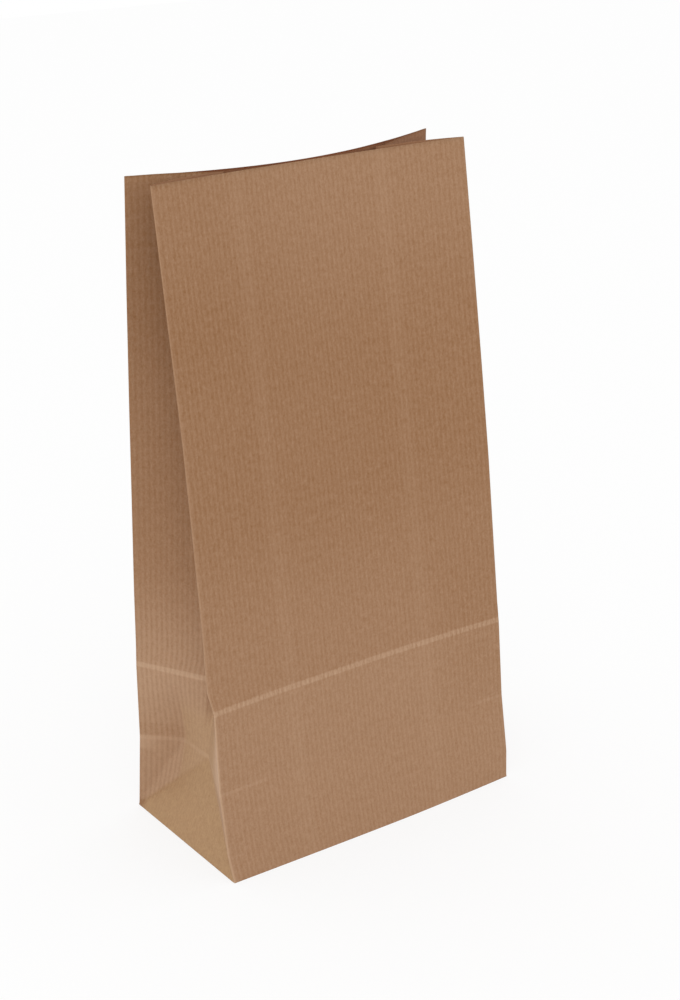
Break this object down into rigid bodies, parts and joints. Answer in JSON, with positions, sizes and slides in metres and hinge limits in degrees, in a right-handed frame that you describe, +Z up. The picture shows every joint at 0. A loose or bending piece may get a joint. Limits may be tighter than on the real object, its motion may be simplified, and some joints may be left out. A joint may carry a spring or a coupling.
{
  "type": "kraft paper gift bag",
  "caption": "Ribbed kraft paper gift bag with side gussets and a folded block base that stands by itself, its mouth almost closed, for small gifts",
  "frame": {"origin": "under the middle of the base, on the plane the bag stands on", "axes": "+Z up the bag, +X along its width to the right as seen from the front, and the front panel faces -Y"},
  "size_m": [0.15, 0.0801, 0.2858],
  "materials": {
    "kraft_paper": "matt brown kraft paper with fine ribs up the sheet"
  },
  "bodies": {
    "root": {"paper_bag": "kraft_paper"}
  },
  "joints": []
}
